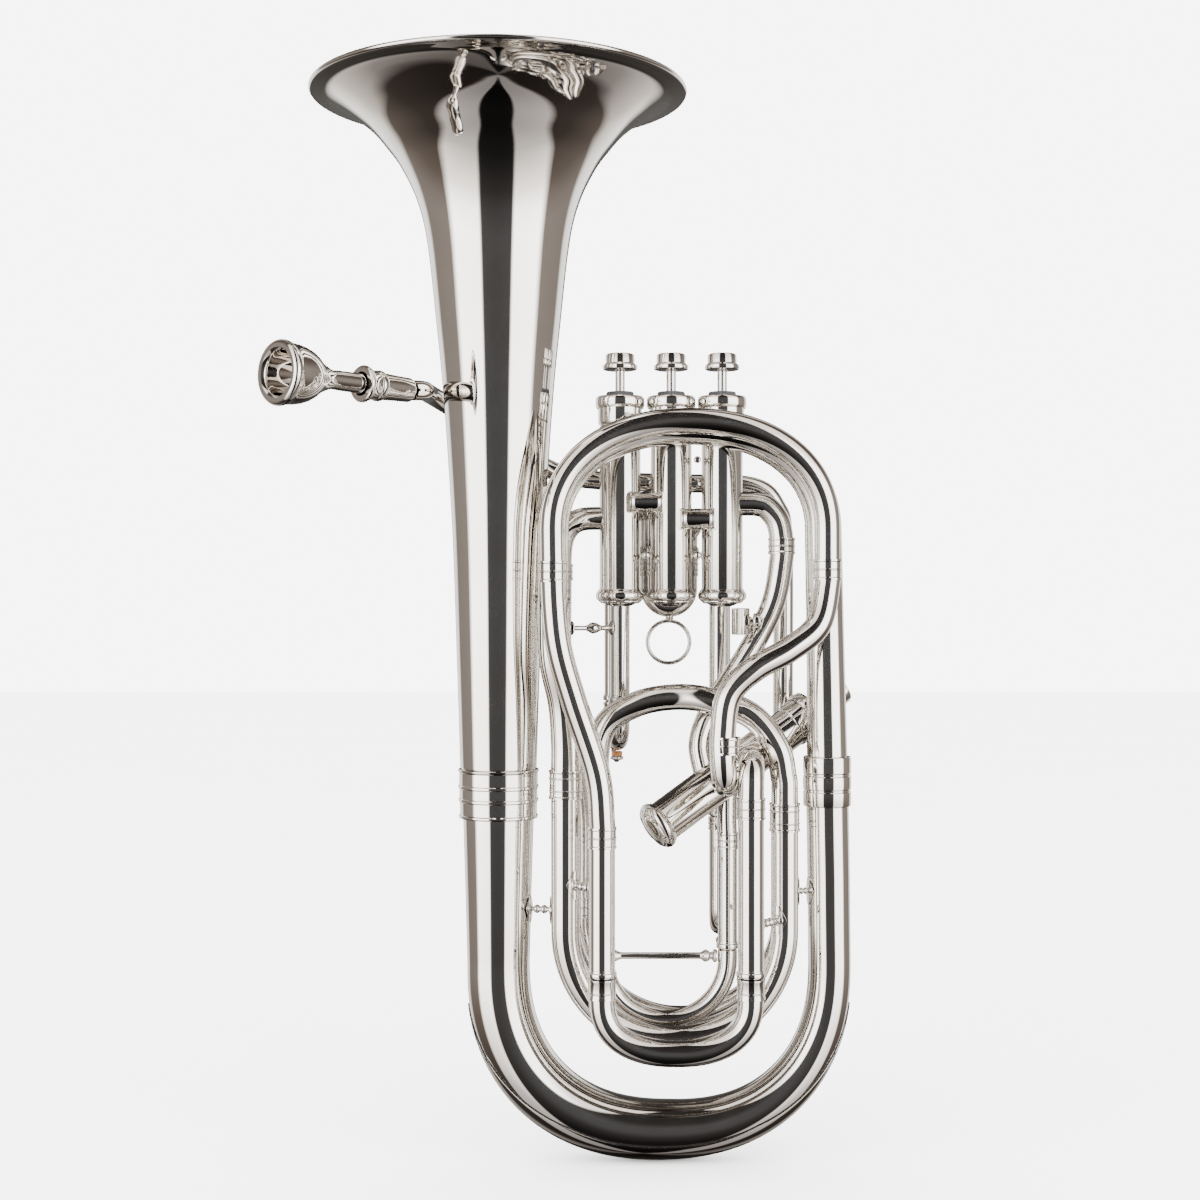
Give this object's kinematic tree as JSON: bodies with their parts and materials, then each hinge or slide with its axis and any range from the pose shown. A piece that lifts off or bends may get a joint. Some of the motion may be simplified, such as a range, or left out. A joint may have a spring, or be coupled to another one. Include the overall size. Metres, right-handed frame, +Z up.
{
  "type": "baritone horn",
  "caption": "Upright valved brass horn with a wide bell, looped tubing, piston valves, pull slides, a side valve and a cup mouthpiece.",
  "frame": {"origin": "bottom of the bottom bow, midway between its two legs, where a stand's cradle or the player's lap holds the instrument", "axes": "+Z up along the bell, +X from the bell side to the valve side, +Y away from the mouthpiece side"},
  "size_m": [0.3645, 0.2629, 0.6863],
  "materials": {
    "silver_plate": "bright silver plate",
    "piston_metal": "polished",
    "spring_steel": "plain",
    "cork": "matt cork"
  },
  "bodies": {
    "horn": {"baluster_brace": "silver_plate", "bell": "silver_plate", "bell_ferrule": "silver_plate", "bottom_bow": "silver_plate", "bottom_cap_1": "silver_plate", "bottom_cap_2": "silver_plate", "bottom_cap_3": "silver_plate", "bottom_cap_4": "silver_plate", "bow_ferrule": "silver_plate", "bow_guard": "silver_plate", "brace_bell_side": "silver_plate", "brace_bow_right": "silver_plate", "brace_slide4_left": "silver_plate", "brace_slide4_right": "silver_plate", "casing_1": "silver_plate", "casing_2": "silver_plate", "casing_3": "silver_plate", "casing_4": "silver_plate", "crossover_arch": "silver_plate", "leadpipe": "silver_plate", "loop4_branch": "silver_plate", "lower_bow": "silver_plate", "lyre_holder": "silver_plate", "main_branch": "silver_plate", "receiver": "silver_plate", "return_spring_1": "spring_steel", "return_spring_2": "spring_steel", "return_spring_3": "spring_steel", "return_spring_4": "spring_steel", "return_tube": "silver_plate", "slide1_sleeves": "silver_plate", "slide2_knuckle_left": "silver_plate", "slide2_knuckle_right": "silver_plate", "slide3_sleeves": "silver_plate", "slide4_sleeve_left": "silver_plate", "slide4_sleeve_right": "silver_plate", "top_cap_1": "silver_plate", "top_cap_2": "silver_plate", "top_cap_3": "silver_plate", "top_cap_4": "silver_plate", "tuning_sleeve_left": "silver_plate", "tuning_sleeve_right": "silver_plate", "valve_crook": "silver_plate", "valve_link_12": "silver_plate", "valve_link_23": "silver_plate"},
    "valve_1": {"piston_1": "piston_metal"},
    "valve_2": {"piston_2": "piston_metal"},
    "valve_3": {"piston_3": "piston_metal"},
    "valve_4": {"piston_4": "piston_metal"},
    "tuning_slide": {"tuning_slide": "silver_plate", "tuning_slide_rod": "silver_plate"},
    "slide_1": {"slide1_bow": "silver_plate"},
    "slide_2": {"slide2_bow": "silver_plate", "slide2_pull_ring": "silver_plate"},
    "slide_3": {"slide3_bow": "silver_plate"},
    "slide_4": {"slide4_bow": "silver_plate"},
    "mouthpiece": {"mouthpiece": "silver_plate"},
    "water_key": {"water_key": "silver_plate", "water_key_cork": "cork"},
    "lyre_screw": {"lyre_screw": "silver_plate"}
  },
  "joints": [
    {"name": "valve_1_press", "type": "slide", "parent": "horn", "child": "valve_1", "axis": [0, 0, -1], "range_m": [0, 0.016], "stiffness_N_per_m": 180, "springref_m": -0.02, "deforming": ["return_spring_1"]},
    {"name": "valve_2_press", "type": "slide", "parent": "horn", "child": "valve_2", "axis": [0, 0, -1], "range_m": [0, 0.016], "stiffness_N_per_m": 180, "springref_m": -0.02, "deforming": ["return_spring_2"]},
    {"name": "valve_3_press", "type": "slide", "parent": "horn", "child": "valve_3", "axis": [0, 0, -1], "range_m": [0, 0.016], "stiffness_N_per_m": 180, "springref_m": -0.02, "deforming": ["return_spring_3"]},
    {"name": "valve_4_press", "type": "slide", "parent": "horn", "child": "valve_4", "axis": [-0.7849, -0.3059, -0.5389], "range_m": [0, 0.016], "stiffness_N_per_m": 180, "springref_m": -0.02, "deforming": ["return_spring_4"]},
    {"name": "tuning_slide_pull", "type": "slide", "parent": "horn", "child": "tuning_slide", "axis": [0, 0, -1], "range_m": [0, 0.035]},
    {"name": "slide_1_pull", "type": "slide", "parent": "horn", "child": "slide_1", "axis": [0, 0, -1], "range_m": [0, 0.025]},
    {"name": "slide_2_pull", "type": "slide", "parent": "horn", "child": "slide_2", "axis": [0, 0, -1], "range_m": [0, 0.01]},
    {"name": "slide_3_pull", "type": "slide", "parent": "horn", "child": "slide_3", "axis": [0, 0, -1], "range_m": [0, 0.025]},
    {"name": "slide_4_pull", "type": "slide", "parent": "horn", "child": "slide_4", "axis": [0, 0, -1], "range_m": [0, 0.045]},
    {"name": "mouthpiece_pull", "type": "slide", "parent": "horn", "child": "mouthpiece", "axis": [-0.682, -0.731, 0.02], "range_m": [0, 0.025]},
    {"name": "water_key_open", "type": "hinge", "parent": "slide_1", "child": "water_key", "pos_m": [-0.0322, 0.0775, 0.27], "axis": [1, 0, 0], "range_deg": [0, 12], "stiffness_Nm_per_rad": 0.08, "springref_deg": -20.05},
    {"name": "lyre_screw_turn", "type": "hinge", "parent": "horn", "child": "lyre_screw", "pos_m": [0.0559, 0.004, 0.3442], "axis": [1, 0, 0], "continuous": true}
  ]
}
